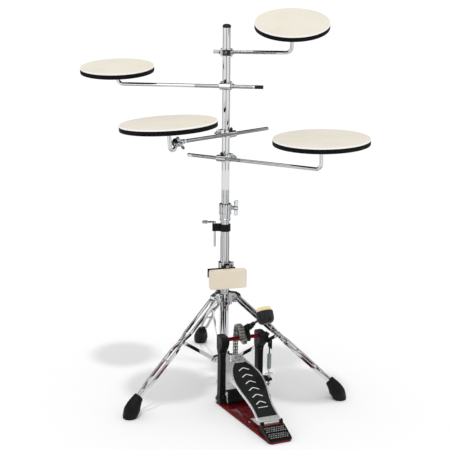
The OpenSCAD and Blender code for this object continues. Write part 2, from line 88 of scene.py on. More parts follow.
arms = {  # height, azimuth, side, roll, reach, riser, stub
    "top": (966, -4, 1, 20, 176, 89, 38),
    "left": (876, 171, 1, -8, 300, 50, 104),
    "snare": (745, 228, 1, 2, 238, 57, 157),
    "floor": (677, -31, -1, 3, 303, 84, 113),
}
padRadius = {"top": 101.6, "left": 101.6, "snare": 127, "floor": 127}
tilterOut = 216

pedalPlace = turn("Z", 21.6)
shaftAt = (-144.5, 195)
kickPlace = turn("Z", 16)
beaterPlace = pedalPlace @ shift(13, *shaftAt) @ turn("X", 58)
boardTilt = math.degrees(math.atan2(118 - 29, 341 - 118))
boardPlace = pedalPlace @ shift(-5, -341, 29) @ turn("Z", 90) @ turn("Y", -boardTilt)


def legPlace(side):
    return turn("Z", stand["legTurns"][side]) @ shift(hingeOut, 0, hingeUp) @ turn("Y", legTilt)


def armPlace(name):
    height, azimuth, side, roll = arms[name][:4]
    return shift(0, 0, height) @ turn("Z", azimuth) @ shift(0, side * 20, 0) @ turn("X", roll)


snareLean = armPlace("snare") @ shift(tilterOut, 0, 0) @ turn("Y", 3) @ shift(-tilterOut, 0, 0)

# Mesh helpers: each returns a bmesh in millimetres.


def soften(bm, edges, width, segments=2):
    edges = list(edges)
    if width and edges:
        bmesh.ops.bevel(bm, geom=edges, offset=width, offset_type="OFFSET", affect="EDGES",
                        segments=segments, profile=0.5, material=-1, clamp_overlap=True)
    return bm


def moved(bm, matrix):
    bmesh.ops.transform(bm, matrix=matrix, verts=bm.verts)
    return bm


def tinted(bm, index):
    for face in bm.faces:
        face.material_index = index
    return bm


def lathe(profile, steps=64, closed=False):
    bm = bmesh.new()
    verts = [bm.verts.new((r, 0, z)) for r, z in profile]
    edges = [bm.edges.new(pair) for pair in zip(verts, verts[1:])]
    if closed:
        edges.append(bm.edges.new((verts[-1], verts[0])))
    bmesh.ops.spin(bm, geom=verts + edges, cent=(0, 0, 0), axis=(0, 0, 1), dvec=(0, 0, 0),
                   angle=2 * math.pi, steps=steps, use_merge=True, use_duplicate=False)
    bmesh.ops.remove_doubles(bm, verts=bm.verts, dist=0.001)
    bmesh.ops.recalc_face_normals(bm, faces=bm.faces)
    return bm


def band(radius, rim, low, high):  # a raised band around the column
    return lathe([(radius, low), (rim, low + 0.6), (rim, high - 0.6), (radius, high)])


def pointed(start, end):  # a frame at start whose Z runs to end
    along = Vector(end) - Vector(start)
    return Matrix.Translation(start) @ along.to_track_quat("Z", "Y").to_matrix().to_4x4()


def turned(profile, start, end, steps=32):  # a lathe shape whose Z runs from start to end
    return moved(lathe(profile, steps), pointed(start, end))


def rod(diameter, start, end, rim=0.4, steps=32):
    length = (Vector(end) - Vector(start)).length
    radius = diameter / 2
    return turned([(0, 0), (radius - rim, 0), (radius, rim), (radius, length - rim),
                   (radius - rim, length), (0, length)], start, end, steps)


def hexagon(across, start, end, rim=0.4):
    length = (Vector(end) - Vector(start)).length
    bm = bmesh.new()
    bmesh.ops.create_cone(bm, cap_ends=True, segments=6, radius1=across / 2, radius2=across / 2,
                          depth=length, matrix=shift(0, 0, length / 2))
    soften(bm, bm.edges, rim)
    return moved(bm, pointed(start, end))


def block(size, at=(0, 0, 0), rounding=0.6, segments=2):
    bm = bmesh.new()
    bmesh.ops.create_cube(bm, size=1, matrix=Matrix.Translation(at) @ Matrix.Diagonal((*size, 1)))
    return soften(bm, bm.edges, rounding, segments)


def plate(outline, low, high, rim=0.4, segments=2):
    bm = bmesh.new()
    face = bm.faces.new([bm.verts.new((x, y, low)) for x, y in outline])
    made = bmesh.ops.extrude_face_region(bm, geom=[face])
    lifted = [v for v in made["geom"] if isinstance(v, bmesh.types.BMVert)]
    bmesh.ops.translate(bm, vec=(0, 0, high - low), verts=lifted)
    bmesh.ops.recalc_face_normals(bm, faces=bm.faces)
    rims = [e for e in bm.edges if abs(e.verts[0].co.z - e.verts[1].co.z) < 1e-6]
    return soften(bm, rims, rim, segments)


def ring(radius, steps=24):
    turns = [2 * math.pi * k / steps for k in range(steps)]
    return [(radius * math.cos(t), radius * math.sin(t)) for t in turns]


def roundedBar(width, height, corner, steps=4):
    points = []
    for k, (sx, sy) in enumerate(((1, 1), (-1, 1), (-1, -1), (1, -1))):
        for s in range(steps + 1):
            t = math.pi / 2 * (k + s / steps)
            points.append((sx * (width / 2 - corner) + corner * math.cos(t),
                           sy * (height / 2 - corner) + corner * math.sin(t)))
    return points


def sweep(path, section, up=(0, 0, 1), closed=False):
    path = [Vector(p) for p in path]
    count = len(path)
    frames = []
    side = None
    for k, point in enumerate(path):
        before = path[k - 1] if (k or closed) else point
        after = path[(k + 1) % count] if (k < count - 1 or closed) else point
        along = (after - before).normalized()
        if side is None:
            side = Vector(up).cross(along).normalized()
        side = (side - along * side.dot(along)).normalized()
        over = along.cross(side)
        basis = Matrix((side, over, along)).transposed().to_4x4()
        frames.append(Matrix.Translation(point) @ basis)
    bm = bmesh.new()
    verts = [bm.verts.new(frames[0] @ Vector((x, y, 0))) for x, y in section]
    loop = [bm.edges.new((v, verts[(k + 1) % len(verts)])) for k, v in enumerate(verts)]
    first = list(verts)
    for k in range(1, count):
        made = bmesh.ops.extrude_edge_only(bm, edges=loop)["geom"]
        loop = [g for g in made if isinstance(g, bmesh.types.BMEdge)]
        verts = [g for g in made if isinstance(g, bmesh.types.BMVert)]
        bmesh.ops.transform(bm, matrix=frames[k] @ frames[k - 1].inverted(), verts=verts)
    if closed:
        start = [e for e in bm.edges if e.is_boundary and all(v in first for v in e.verts)]
        bmesh.ops.bridge_loops(bm, edges=start + loop)
    else:
        bmesh.ops.holes_fill(bm, edges=[e for e in bm.edges if e.is_boundary])
    bmesh.ops.recalc_face_normals(bm, faces=bm.faces)
    return bm


def filleted(points, radius, steps=6):  # rounds the corners of a path
    points = [Vector(p) for p in points]
    made = [points[0]]
    for before, corner, after in zip(points, points[1:], points[2:]):
        reach = min(radius, (before - corner).length * 0.45, (after - corner).length * 0.45)
        a = corner + (before - corner).normalized() * reach
        b = corner + (after - corner).normalized() * reach
        for s in range(steps + 1):
            t = s / steps
            made.append(a * (1 - t) ** 2 + corner * 2 * t * (1 - t) + b * t * t)
    return made + [points[-1]]


def arc(centre, radius, start, end, steps=10):  # points in the XZ plane
    turns = [math.radians(start + (end - start) * k / steps) for k in range(steps + 1)]
    return [(centre[0] + radius * math.cos(t), 0, centre[1] + radius * math.sin(t)) for t in turns]


def piece(name, parts, finishes, body, stands=(), place=None, crease=34):
    whole = bmesh.new()
    for part in parts:
        scratch = bpy.data.meshes.new("scratch")
        part.to_mesh(scratch)
        part.free()
        whole.from_mesh(scratch)
        bpy.data.meshes.remove(scratch)
    moved(whole, Matrix.Scale(0.001, 4) @ (place or Matrix()))
    return placed(name, whole, finishes, body, stands, crease)


def placed(name, whole, finishes, body, stands, crease):
    limit = math.radians(crease)
    for face in whole.faces:
        face.smooth = True
    for edge in whole.edges:
        edge.smooth = len(edge.link_faces) == 2 and edge.calc_face_angle(0) < limit
    mesh = bpy.data.meshes.new(name)
    whole.to_mesh(mesh)
    whole.free()
    made = bpy.data.objects.new(name, mesh)
    bpy.context.scene.collection.objects.link(made)
    for finish in (finishes if isinstance(finishes, (list, tuple)) else [finishes]):
        mesh.materials.append(finish)
    weighted = made.modifiers.new("flat faces", "WEIGHTED_NORMAL")
    weighted.keep_sharp = True
    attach(made, body)
    if stands:
        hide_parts(*stands)
    return made


def bodyOf(node):
    return frame["nodes"][node]["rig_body"]


def refined(node, finishes, rounding=0.5, extra=(), name=None, crease=34, segments=2):
    whole = bmesh.new()
    whole.from_mesh(frame["nodes"][node].data)
    for face in whole.faces:
        face.material_index = 0
    bmesh.ops.remove_doubles(whole, verts=whole.verts, dist=2e-6)
    bmesh.ops.dissolve_limit(whole, angle_limit=math.radians(0.8), verts=whole.verts,
                             edges=whole.edges)
    if rounding:
        hard = [e for e in whole.edges if len(e.link_faces) == 2
                and e.calc_face_angle(0) > math.radians(32)]
        soften(whole, hard, rounding * 0.001, segments)
    moved(whole, Matrix.Scale(1000, 4))
    return piece(name or node.replace("_", "."), [whole, *extra], finishes, bodyOf(node),
                 (node,), None, crease)

# Finishes.


def finish(name, colour, second=None, mottle=20, metallic=0.0, roughness=(0.4, 0.5),
           roughScale=60, grain=None, scratches=0.0, coat=0.0, coatRoughness=0.1, sheen=0.0,
           specks=None, streak=None, gloss=0.5, edge=1.0):
    material = bpy.data.materials.new(name)
    material.use_nodes = True
    tree = material.node_tree
    shader = tree.nodes["Principled BSDF"]
    make = tree.nodes.new
    link = tree.links.new
    place = make("ShaderNodeTexCoord").outputs["Object"]

    def noise(scale, detail=3, stretch=None):
        node = make("ShaderNodeTexNoise")
        node.inputs["Scale"].default_value = scale
        node.inputs["Detail"].default_value = detail
        source = place
        if stretch:
            mapping = make("ShaderNodeMapping")
            mapping.inputs["Scale"].default_value = stretch
            link(place, mapping.inputs["Vector"])
            source = mapping.outputs["Vector"]
        link(source, node.inputs["Vector"])
        return node.outputs["Fac"]

    def spread(value, low, high, fromLow=0.3, fromHigh=0.7):
        node = make("ShaderNodeMapRange")
        for key, number in (("From Min", fromLow), ("From Max", fromHigh),
                            ("To Min", low), ("To Max", high)):
            node.inputs[key].default_value = number
        link(value, node.inputs["Value"])
        return node.outputs["Result"]

    def blended(fac, a, b):
        node = make("ShaderNodeMix")
        node.data_type = "RGBA"
        link(fac, node.inputs["Factor"])
        for socket, value in (("A", a), ("B", b)):
            target = [s for s in node.inputs if s.name == socket and s.type == "RGBA"][0]
            if isinstance(value, tuple):
                target.default_value = (*value, 1)
            else:
                link(value, target)
        return [s for s in node.outputs if s.type == "RGBA"][0]

    base = blended(spread(noise(mottle), 0, 1), colour, second or tuple(c * 0.85 for c in colour))
    if specks:
        scale, speckColour, share = specks
        spots = spread(noise(scale, 1), 0, 1, 1 - share, 1 - share + 0.06)
        base = blended(spots, base, speckColour)
    link(base, shader.inputs["Base Color"])
    low, high = roughness
    rough = spread(noise(roughScale), low, high)
    if scratches:
        lines = noise(220, 2, streak or (1, 1, 0.06))
        extra = make("ShaderNodeMath")
        extra.operation = "ADD"
        link(rough, extra.inputs[0])
        link(spread(lines, 0, scratches, 0.6, 0.75), extra.inputs[1])
        rough = extra.outputs[0]
    link(rough, shader.inputs["Roughness"])
    shader.inputs["Metallic"].default_value = metallic
    shader.inputs["Specular IOR Level"].default_value = gloss
    shader.inputs["Specular Tint"].default_value = (edge, edge, edge, 1)
    shader.inputs["Coat Weight"].default_value = coat
    shader.inputs["Coat Roughness"].default_value = coatRoughness
    shader.inputs["Sheen Weight"].default_value = sheen
    if grain:
        kind, scale, depth = grain
        if kind == "cells":
            node = make("ShaderNodeTexVoronoi")
            node.inputs["Scale"].default_value = scale
            link(place, node.inputs["Vector"])
            height = node.outputs["Distance"]
        else:
            height = noise(scale, 4)
        bump = make("ShaderNodeBump")
        bump.inputs["Strength"].default_value = 0.6
        bump.inputs["Distance"].default_value = depth
        link(height, bump.inputs["Height"])
        link(bump.outputs["Normal"], shader.inputs["Normal"])
    return material


chrome = finish("chrome", (0.74, 0.745, 0.755), (0.66, 0.67, 0.685), 9, 1.0, (0.03, 0.06), 40,
                ("noise", 30, 0.00001), 0.05, edge=0.45)
chromeFlat = finish("chromeFlat", (0.70, 0.705, 0.72), (0.62, 0.63, 0.64), 14, 1.0, (0.08, 0.14),
                    50, ("noise", 45, 0.00004), 0.08, edge=0.45)
satin = finish("satinChrome", (0.93, 0.93, 0.93), (0.86, 0.86, 0.86), 24, 0.7, (0.28, 0.36), 60,
               ("noise", 300, 0.00003), 0.08, edge=0.6)
knurl = finish("knurledChrome", (0.46, 0.465, 0.475), (0.38, 0.385, 0.395), 60, 1.0, (0.2, 0.32),
               90, ("noise", 900, 0.00004), edge=0.5)
steel = finish("zincSteel", (0.60, 0.60, 0.59), (0.46, 0.46, 0.45), 60, 1.0, (0.22, 0.38), 120,
               ("noise", 500, 0.00004), 0.1)
darkSteel = finish("darkSteel", (0.06, 0.06, 0.065), (0.03, 0.03, 0.033), 70, 0.9, (0.25, 0.4),
                   120, ("noise", 600, 0.00004))
sprocketSteel = finish("sprocketSteel", (0.20, 0.205, 0.20), (0.13, 0.13, 0.125), 80, 0.9,
                       (0.3, 0.45), 120, ("noise", 500, 0.00005), 0.1)
chainSteel = finish("chainSteel", (0.42, 0.41, 0.37), (0.30, 0.29, 0.25), 120, 1.0, (0.22, 0.38),
                    200, ("noise", 600, 0.00003))
castBlack = finish("blackCast", (0.003, 0.003, 0.0035), (0.006, 0.006, 0.007), 40, 0.0,
                   (0.34, 0.46), 90, ("cells", 1600, 0.00006), gloss=0.14,
                   specks=(1500, (0.014, 0.014, 0.015), 0.33))
rubber = finish("blackRubber", (0.004, 0.004, 0.004), (0.008, 0.008, 0.007), 35, 0.0,
                (0.42, 0.6), 80, ("noise", 700, 0.0001), gloss=0.16,
                specks=(1100, (0.024, 0.024, 0.023), 0.30))
plastic = finish("blackPlastic", (0.005, 0.005, 0.006), (0.010, 0.010, 0.011), 30, 0.0,
                 (0.25, 0.38), 60, ("noise", 1200, 0.00004), gloss=0.3)
padSide = finish("padSide", (0.002, 0.002, 0.002), (0.005, 0.005, 0.005), 50, 0.0, (0.55, 0.7),
                 100, ("cells", 900, 0.00015), gloss=0.10,
                 specks=(900, (0.012, 0.012, 0.012), 0.28))
padTop = finish("padTop", (0.81, 0.765, 0.665), (0.77, 0.72, 0.61), 11, 0.0, (0.62, 0.78), 120,
                ("noise", 520, 0.0002), sheen=0.05, gloss=0.25,
                specks=(420, (0.85, 0.81, 0.72), 0.36))
# The near-white rim finish below is a painted highlight along the skin's rounded edge and side,
# not a separate colour of rubber
padRimPaintedHighlight = finish("padRimPaintedHighlight", (0.96, 0.955, 0.93), (0.92, 0.91, 0.88), 60, 0.0, (0.6, 0.75), 90,
                 ("cells", 1500, 0.0001), gloss=0.3)
kickFoam = finish("kickFoam", (0.87, 0.79, 0.65), (0.82, 0.73, 0.58), 14, 0.0, (0.7, 0.85), 90,
                  ("cells", 1000, 0.00025), sheen=0.1, gloss=0.2,
                  specks=(800, (0.74, 0.65, 0.50), 0.26))
redPlate = finish("redPlate", (0.25, 0.003, 0.010), (0.16, 0.002, 0.006), 9, 0.4, (0.2, 0.3), 60,
                  ("noise", 700, 0.00003), coat=0.5, coatRoughness=0.06, gloss=0.3,
                  specks=(1800, (0.34, 0.015, 0.025), 0.34))
redShaft = finish("redShaft", (0.36, 0.006, 0.02), (0.24, 0.003, 0.012), 30, 0.85, (0.18, 0.3),
                  90, ("noise", 500, 0.00003), 0.1, edge=0.6)
felt = finish("felt", (0.86, 0.74, 0.44), (0.78, 0.65, 0.36), 60, 0.0, (0.9, 1.0), 90,
              ("noise", 800, 0.0007), sheen=0.3, gloss=0.1,
              specks=(700, (0.93, 0.86, 0.62), 0.34))
beaterBlack = finish("beaterBlack", (0.006, 0.006, 0.007), (0.012, 0.012, 0.013), 40, 0.0,
                     (0.3, 0.45), 60, ("noise", 900, 0.00006), gloss=0.3)
springSteel = finish("springSteel", (0.36, 0.42, 0.39), (0.28, 0.33, 0.31), 90, 0.5,
                     (0.3, 0.42), 120, ("noise", 600, 0.00003))
whitePlastic = finish("whitePlastic", (0.82, 0.82, 0.80), (0.74, 0.74, 0.72), 60, 0.0,
                      (0.35, 0.45), 60, ("noise", 800, 0.00003))
castSilver = finish("castSilver", (0.88, 0.88, 0.87), (0.76, 0.76, 0.76), 20, 0.6, (0.22, 0.34),
                    70, ("noise", 60, 0.00004), 0.08, edge=0.8)
grip = finish("gripBlack", (0.006, 0.007, 0.007), (0.012, 0.013, 0.013), 50, 0.0, (0.5, 0.65),
              90, ("cells", 1400, 0.00012), gloss=0.2,
              specks=(1200, (0.030, 0.033, 0.033), 0.32))
print("finishes made:", len(bpy.data.materials))

# The column.

columnLook = {"sides": 96, "lip": 0.6, "wingRound": 0.9}

lower, upper, bore = stand["lowerTube"] / 2, stand["upperTube"] / 2, stand["bore"] / 2
lowerWall = 11.2


def tube(outer, inner, low, high, lip):
    return lathe([(inner, low + lip), (inner + lip, low), (outer - lip, low), (outer, low + lip),
                  (outer, high - lip), (outer - lip, high), (inner + lip, high),
                  (inner, high - lip)], columnLook["sides"], True)


piece("lowerTube", [tube(lower, lowerWall, 5, stand["lowerTop"], columnLook["lip"])], chrome,
      "stand", ["lower_tube"])
piece("upperTube", [tube(upper, bore, stand["upperFoot"], stand["upperTop"], columnLook["lip"])],
      chrome, "mast", ["upper_tube"])
capRim = upper + 0.6
dome = [(capRim * math.cos(math.radians(a)), 4 + 6 * math.sin(math.radians(a)))
        for a in range(0, 90, 9)] + [(0, 10)]
cap = [(0, -12), (bore - 0.3, -12), (bore - 0.1, -11), (bore - 0.1, -0.1), (capRim - 0.4, 0),
       (capRim, 0.4), (capRim, 2.4), (capRim - 0.5, 2.8), (capRim - 0.5, 3.3)] + dome
piece("tubeCap", [lathe([(r, z + stand["upperTop"]) for r, z in cap])], plastic, "mast",
      ["tube_cap"])

collarTop = 543
refined("height_clamp", chrome, 0.8, [
    band(15.3, 15.9, 499, 502), band(17.5, 18, 517, 520), band(17.5, 18, 537, 541),
], "heightClamp")
bushTeeth = []
for k in range(14):
    bushTeeth.append(moved(block((2.6, 3.4, 3.4), (15.9, 0, collarTop + 1.0), 0.4),
                           turn("Z", k * 360 / 14)))
bush = lathe([(11.2, 515.5), (13.3, 515.5), (13.3, 543.4), (15.2, 543.4), (15.5, 543.8),
              (15.5, 545.2), (14.9, 545.8), (11.6, 545.8), (11.2, 545.3)], 64, True)
piece("heightBush", [bush], plastic, "stand", ["height_clamp_bush"])
piece("heightBushTeeth", bushTeeth, chromeFlat, "stand")
refined("height_wing_bolt", chrome, columnLook["wingRound"], name="heightWingBolt",
        segments=3)
refined("key_clip", rubber, 1.0, [
    block((5, 20, 14), (-17.6, 0, 476), 0.8),
    rod(5, (-20, -9, 476), (-20, 9, 476)),
], "keyClip")
refined("drum_key", chrome, 0.5, [
    rod(8, (-65, 0, 491), (-61, 0, 491), 0.8), block((8.4, 8.4, 8.4), (-54, 0, 491), 0.8),
], "drumKey", segments=3)
print("column done")

# The tripod.

railLook = {"thick": 4.5, "high": 10, "length": 375, "corner": 1.4, "bend": 26}
bootLook = {"top": 14.0, "rib": 0.6}
railPath = [(-7, 10.75), (kneeAlong - 28, 10.75), (kneeAlong - 9, 4.55), (kneeAlong + 9, 4.55),
            (kneeAlong + 30, 9.95), (railLook["length"] - 62, 9.95),
            (railLook["length"] - 38, 5.55), (railLook["length"], 5.55)]


def leg(side):
    parts = []
    path = filleted([(x, y, 0) for x, y in railPath], railLook["bend"], 5)
    for mirror in (1, -1):
        section = roundedBar(railLook["thick"], railLook["high"], railLook["corner"], 3)
        bar = sweep([(x, y * mirror, 0) for x, y, _ in path], section, (0, 0, 1))
        parts.append(bar)
        y = mirror
        parts.append(rod(14, (0, 8.3 * y, 0), (0, 13.4 * y, 0), 0.6))
        parts.append(rod(10, (kneeAlong, 6.8 * y, 0), (kneeAlong, 9.6 * y, 0), 0.8))
        parts.append(rod(6, (kneeAlong, 9.4 * y, 0), (kneeAlong, 10.4 * y, 0), 0.5))
    parts.append(rod(5, (kneeAlong, -9, 0), (kneeAlong, 9, 0)))
    parts.append(rod(5, (kneeAlong + 70, -9.5, 0), (kneeAlong + 70, 9.5, 0)))
    for y in (1, -1):
        parts.append(rod(9, (kneeAlong + 70, 11.9 * y, 0), (kneeAlong + 70, 13.2 * y, 0), 0.6))
    piece(side + "Leg", parts, chrome, bodyOf(side + "_leg"), [side + "_leg"],
          legPlace(side))


def boot(side):
    start = legPlace(side) @ Vector((railLook["length"] - 20, 0, 0))
    axis = (legPlace(side).to_3x3() @ Vector((1, 0, 0))).normalized()
    azimuth = turn("Z", stand["legTurns"][side])
    sole = azimuth @ Vector((347, 0, 0.4))
    outward = azimuth @ Vector((1, 0, 0))
    steps = 26
    bm = bmesh.new()
    verts = [bm.verts.new((x, y, 0)) for x, y in ring(1, 40)]
    loop = [bm.edges.new((v, verts[(k + 1) % len(verts)])) for k, v in enumerate(verts)]
    bmesh.ops.contextual_create(bm, geom=verts)
    previous = Matrix()
    for k in range(steps + 1):
        t = k / steps
        bulge = math.sin(math.pi * min(1, max(0, (t - 0.15) / 0.85)) ** 0.9)
        radius = bootLook["top"] + (20.2 - bootLook["top"]) * min(1, t / 0.6) ** 1.2
        radius += 2.2 * bulge
        if t < 0.45:
            radius += bootLook["rib"] * (1 if int(t * 20) % 2 else -0.4)
        if k == 0:
            radius *= 0.9
        if t > 0.9:
            radius -= (t - 0.9) * 14
        centre = start.lerp(sole, t) + outward * 5 * math.sin(math.pi * t)
        down = axis.lerp(Vector((0, 0, -1)), min(1, t * 1.25) ** 1.5).normalized()
        side2 = Vector((0, 0, 1)).cross(outward).normalized()
        front = side2.cross(down).normalized()
        frameNow = Matrix.Translation(centre) @ Matrix(
            (side2 * radius, front * radius, down)).transposed().to_4x4()
        if k:
            made = bmesh.ops.extrude_edge_only(bm, edges=loop)["geom"]
            loop = [g for g in made if isinstance(g, bmesh.types.BMEdge)]
            verts = [g for g in made if isinstance(g, bmesh.types.BMVert)]
        bmesh.ops.transform(bm, matrix=frameNow @ previous.inverted(), verts=verts)
        previous = frameNow
    bmesh.ops.contextual_create(bm, geom=verts)
    bmesh.ops.recalc_face_normals(bm, faces=bm.faces)
    piece(side + "Boot", [bm], rubber, bodyOf(side + "_foot"), [side + "_foot"],
          crease=40)


for side in stand["legTurns"]:
    leg(side)
    boot(side)
    refined(side + "_brace", chrome, 0.8, name=side + "Brace")

hubExtras = []
lowExtras = []
for azimuth in stand["legTurns"].values():
    about = turn("Z", azimuth)
    for y in (1, -1):
        hubExtras.append(moved(rod(7, (hingeOut, 16.6 * y, hingeUp), (hingeOut, 18.6 * y, hingeUp),
                                   0.7), about))
        hubExtras.append(moved(block((16, 3, 20), (24, 8.2 * y, 270), 0.8), about))
        lowExtras.append(moved(rod(8.5, (36, 6.2 * y, 85), (36, 9.4 * y, 85), 0.9), about))
    hubExtras.append(moved(rod(8, (17, 0, 252), (23, 0, 252), 1.0), about))
    hubExtras.append(moved(block((3, 10, 26), (17.4, 0, 270), 0.8), turn("Z", azimuth + 60)))
    lowExtras.append(moved(rod(7, (16, 0, 72), (20, 0, 72), 0.8), turn("Z", azimuth + 60)))
hubExtras += [band(17, 17.8, 247, 251), band(17, 17.8, 281, 285)]
refined("upper_hub", chrome, 0.9, hubExtras, "upperHub")
refined("lower_hub", chrome, 0.7, lowExtras, "lowerHub")
refined("pedal_plate", satin, 0.8, name="pedalPlate")
print("tripod done")

# The kick pad.

kickLook = {"width": 108, "height": 55, "low": 306, "back": -25.05, "thick": 20, "corner": 5,
            "edge": 2.2, "crown": 0.7}
middle = kickLook["low"] + kickLook["height"] / 2


def kickPad():
    pad = bmesh.new()
    thick = kickLook["thick"]
    layers = [(2.2, 0), (0.7, 0.5), (0, 2), (0, thick - 2.4), (0.6, thick - 0.9),
              (1.8, thick - 0.2), (3.4, thick), (12, thick), (20, thick)]
    loops = []
    for inset, depth in layers:
        points = roundedBar(kickLook["width"] - 2 * inset, kickLook["height"] - 2 * inset,
                            max(0.6, kickLook["corner"] - inset * 0.8), 6)
        loops.append([pad.verts.new((x, y, depth)) for x, y in points])
    for here, there in zip(loops, loops[1:]):
        for k in range(len(here)):
            n = (k + 1) % len(here)
            pad.faces.new((here[k], here[n], there[n], there[k]))
    for loop in (loops[0], loops[-1]):
        pad.faces.new(loop)
    bmesh.ops.recalc_face_normals(pad, faces=pad.faces)
    moved(pad, shift(0, kickLook["back"], middle) @ turn("X", 90))
    made = piece("kickPad", [pad], kickFoam, bodyOf("kick_pad"), ["kick_pad"],
                 kickPlace)


kickPad()
refined("kick_clamp", chrome, 0.8, [
    moved(rod(9, (20, -8.5, 364), (20, -5.2, 364), 0.8), kickPlace),
    moved(hexagon(8, (20, 5.2, 364), (20, 9, 364)), kickPlace),
    moved(rod(6.5, (0, -31.5, 367), (0, -28.6, 367), 0.6), kickPlace),
    moved(rod(4, (20, -10, 364), (20, 10, 364), 0.3), kickPlace),
], "kickClamp")
piece("kickBracket", [block((82, 3, 26), (-16, -23.5, 351), 0.9),
                      block((16, 3, 14), (0, -23.5, 368), 0.9),
                      rod(7, (-50, -23, 357), (-50, -20.4, 357), 0.8),
                      rod(7, (19, -23, 357), (19, -20.4, 357), 0.8)],
      castBlack, bodyOf("kick_bracket"), ["kick_bracket"], kickPlace)
print("kick pad done")

# The pads and their arms.

padLook = {"skin": 4, "board": 12, "sides": 128}


def pad(name, place):
    r = padRadius[name]
    sides = padLook["sides"]
    skin = [(0, -4), (r - 0.5, -4), (r, -3.6), (r, -1.3), (r - 0.35, -0.5), (r - 1.2, -0.12),
            (r - 3, 0)] + [(r * t, 0.0) for t in (0.8, 0.6, 0.4, 0.2)] + [(0, 0)]
    top = lathe(skin, sides)
    # Faces within 1.6 mm of the rim take the near-white painted-highlight finish; the rest take
    # the cream skin colour
    for face in top.faces:
        middleOut = face.calc_center_median().to_2d().length
        face.material_index = 1 if middleOut > r - 1.6 else 0
    made = piece(name + "PadSkin", [top], [padTop, padRimPaintedHighlight], bodyOf(name + "_pad_skin"),
                 [name + "_pad_skin"], place)
    board = [(0, -16), (r - 1.6, -16), (r - 0.5, -15.6), (r, -14.6), (r, -9.2), (r - 0.25, -9),
             (r, -8.8), (r, -4.6), (r - 0.5, -4.1), (0, -4.1)]
    piece(name + "PadBoard", [lathe(board, sides)], padSide, bodyOf(name + "_pad_board"),
          [name + "_pad_board"], place)


def knurled(diameter, start, end, pitch=1.25):  # a rod along X cut with crossed grooves
    around = int(math.pi * diameter / pitch) * 2
    along = int((end - start) / pitch)
    radius = diameter / 2
    path = [(start + (end - start) * k / along, 0, 0) for k in range(along + 1)]
    bm = sweep(path, ring(radius, around))
    for vert in bm.verts:
        step = round((vert.co.x - start) / (end - start) * along)
        slot = round(math.atan2(vert.co.z, vert.co.y) / (2 * math.pi) * around)
        dip = radius - (0.02 if (step + slot) % 2 else 0.24)
        out = Vector((0, vert.co.y, vert.co.z)).normalized() * dip
        vert.co = (vert.co.x, out.y, out.z)
    return bm


def flange(place, top):
    parts = [turned([(0, 0), (21.2, 0), (22, 0.6), (22, 2.4), (21.4, 3), (0, 3)],
                    (0, 0, top - 3), (0, 0, top), 48),
             turned([(4, 0), (7.5, 0), (9, 1), (9, 4.6), (10, 6.2), (4, 6.2)],
                    (0, 0, top - 9), (0, 0, top - 3), 48)]
    for k in range(4):
        t = math.radians(45 + 90 * k)
        parts.append(rod(6, (15.5 * math.cos(t), 15.5 * math.sin(t), top - 4.6),
                         (15.5 * math.cos(t), 15.5 * math.sin(t), top - 3), 0.7, 20))
    return [moved(part, place) for part in parts]


armLook = {  # knurled spans and dark marks along each arm, in millimetres
    "top": {"knurl": [(20, 134)], "marks": [66, 100], "cap": None},
    "left": {"knurl": [(-76, 84)], "marks": [40], "cap": (-104, -80)},
    "snare": {"knurl": [(-154, 190)], "marks": [-140, -95, -60, 60], "cap": None},
    "floor": {"knurl": [(-96, 62)], "marks": [-60], "cap": None},
}
bend = 15


def bentArm(name):
    reach, riser, stub = arms[name][4:]
    top = riser - 16
    look = armLook[name]
    parts = []
    plain = -stub
    for low, high in look["knurl"]:
        parts.append(rod(10, (plain, 0, 0), (low, 0, 0), 0.6, 40))
        parts.append(tinted(knurled(10.1, low, high), 1))
        plain = high
    path = [(plain, 0, 0)] + arc((reach - bend, bend), bend, -90, 0) + [(reach, 0, top - 3)]
    parts.append(sweep(path, ring(5, 40), (0, 1, 0)))
    if look["cap"]:
        low, high = look["cap"]
        parts.append(tinted(rod(10.15, (low - 0.6, 0, 0), (high, 0, 0), 1.2, 40), 2))
    for x in look["marks"]:
        parts.append(tinted(rod(2.6, (x, -5.1, 0), (x, -4.6, 0), 0.15, 16), 2))
    parts += flange(shift(reach, 0, 0), top)
    piece(name + "Arm", parts, [chrome, knurl, plastic], bodyOf(name + "_arm"),
          [name + "_arm"], armPlace(name))


def snareArm():
    parts = []
    low, high = armLook["snare"]["knurl"][0]
    parts.append(rod(10, (-157, 0, 0), (low, 0, 0), 0.8, 40))
    parts.append(tinted(knurled(10.1, low, high), 1))
    for x in armLook["snare"]["marks"]:
        parts.append(tinted(rod(3, (x, -5.3, 0), (x, -4.6, 0), 0.2, 16), 2))
    neck = [(182, -5.2), (194, -5.2), (200, 4.4), (220, 4.4), (220, 10.9), (196, 10.9), (182, 5.2)]
    parts.append(plate(neck, -5.2, 5.2, 0.8))
    disc = lathe([(3.1, 0), (10.4, 0), (11, 0.6), (11, 6), (10.2, 6.7), (3.1, 6.7)], 64, True)
    parts.append(moved(disc, shift(tilterOut, 4.3, 0) @ turn("X", -90)))
    piece("snareArm", parts, [chrome, knurl, plastic], bodyOf("snare_arm"),
          ["snare_arm"], armPlace("snare"))


